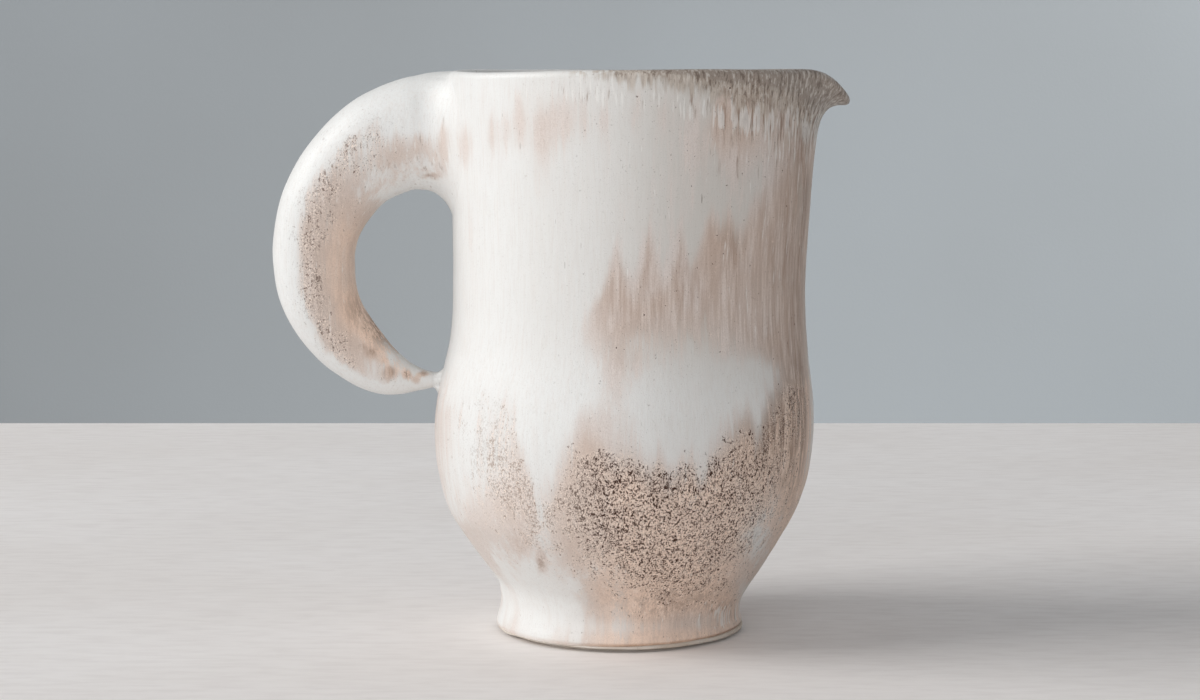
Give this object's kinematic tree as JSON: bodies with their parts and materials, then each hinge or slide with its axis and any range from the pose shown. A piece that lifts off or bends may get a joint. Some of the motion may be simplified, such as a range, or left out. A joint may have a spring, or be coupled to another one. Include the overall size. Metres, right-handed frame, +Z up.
{
  "type": "ceramic pitcher",
  "caption": "Hand-thrown ceramic pitcher with a straight neck, a full belly on a narrow flared foot, a beaked pouring spout and a tapering loop handle.",
  "frame": {"origin": "centre of the underside of the foot, on the surface the pitcher stands on", "axes": "+Z up along the vessel's axis, +X towards the spout, -X towards the handle, +Y across"},
  "size_m": [0.1968, 0.1286, 0.1904],
  "materials": {
    "glazed_wall": "satin off-white glaze breaking to pinkish tan with fine brown specks",
    "glazed_inside": "satin off-white glaze, plain inside",
    "glazed_spout": "satin glaze, grey taupe at the rim with short white and brown runs",
    "glazed_handle": "satin off-white glaze worn to tan with brown specks along the middle",
    "slip": "satin white glaze over joining slip",
    "bare_clay": "unglazed fired stoneware, matt"
  },
  "bodies": {
    "root": {"body_wall": "glazed_wall", "base_slab": "bare_clay", "base_seam_coil": "glazed_inside", "spout": "glazed_spout", "handle": "glazed_handle", "handle_root_coil": "glazed_handle", "handle_tip_dab": "slip"}
  },
  "joints": []
}
